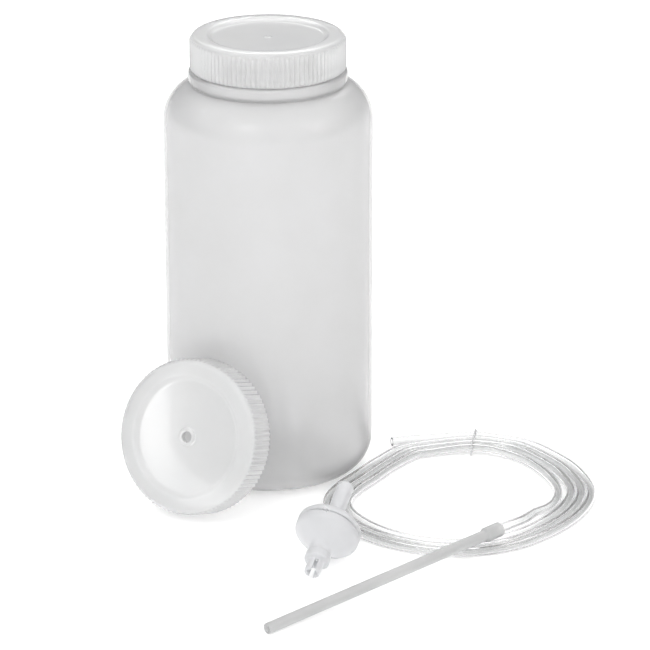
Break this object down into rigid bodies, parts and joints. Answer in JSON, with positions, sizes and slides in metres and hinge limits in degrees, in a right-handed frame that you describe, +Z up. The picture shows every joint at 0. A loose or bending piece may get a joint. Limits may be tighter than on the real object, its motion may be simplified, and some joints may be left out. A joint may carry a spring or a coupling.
{
  "type": "wash bottle",
  "caption": "Wide-mouth laboratory wash bottle with screw closure, spare closure with tube hole, tied coil of clear tubing, check valve and dispensing wand.",
  "frame": {"origin": "centre of the bottle's flat base, on the surface it stands on", "axes": "+Z up along the bottle's axis; +Y from the front, where the wand and valve lie, to the back; +X towards the tubing coil"},
  "size_m": [0.2084, 0.2301, 0.2003],
  "materials": {
    "bottle_plastic": "translucent, satin",
    "closure_plastic": "translucent, satin",
    "liner_foam": "soft foam",
    "clear_tubing": "clear, glossy",
    "wand_plastic": "translucent, satin",
    "valve_plastic": "translucent, satin",
    "diaphragm_rubber": "matt",
    "tie_plastic": "translucent"
  },
  "bodies": {
    "bottle": {"bottle": "bottle_plastic"},
    "closure_liner": {"closure_liner": "liner_foam"},
    "closure": {"closure": "closure_plastic"},
    "tube_closure": {"tube_closure": "closure_plastic"},
    "tubing": {"tubing_coil": "clear_tubing", "tubing_lead": "clear_tubing", "coil_tie": "tie_plastic"},
    "wand": {"wand": "wand_plastic"},
    "valve": {"valve_inlet_body": "valve_plastic", "valve_outlet_body": "valve_plastic"},
    "valve_diaphragm": {"valve_diaphragm": "diaphragm_rubber"}
  },
  "joints": [
    {"name": "closure_lift", "type": "slide", "parent": "bottle", "child": "closure_liner", "axis": [0, 0, 1], "range_m": [0, 0.00847]},
    {"name": "closure_turn", "type": "hinge", "parent": "closure_liner", "child": "closure", "pos_m": [0, 0, 0.19], "axis": [0, 0, 1], "range_deg": [0, 720]},
    {"name": "tube_closure_lift", "type": "slide", "parent": "bottle", "child": "tube_closure", "axis": [0, 0, 1], "range_m": [0, 0.1]},
    {"name": "tubing_lift", "type": "slide", "parent": "bottle", "child": "tubing", "axis": [0.7089, -0.4099, 0.5739], "range_m": [0, 0.1]},
    {"name": "wand_pull", "type": "slide", "parent": "tubing", "child": "wand", "axis": [-0.7555, -0.6535, -0.046], "range_m": [0, 0.01]},
    {"name": "valve_lift", "type": "slide", "parent": "tubing", "child": "valve", "axis": [0, 0, 1], "range_m": [0, 0.1]},
    {"name": "diaphragm_lift", "type": "slide", "parent": "valve", "child": "valve_diaphragm", "axis": [0.3064, 0.8417, 0.4446], "range_m": [0, 0.0008]}
  ],
  "couplings": [
    {"joint": "closure_lift", "follows": "closure_turn", "m_per_rad": 0.0006737}
  ]
}
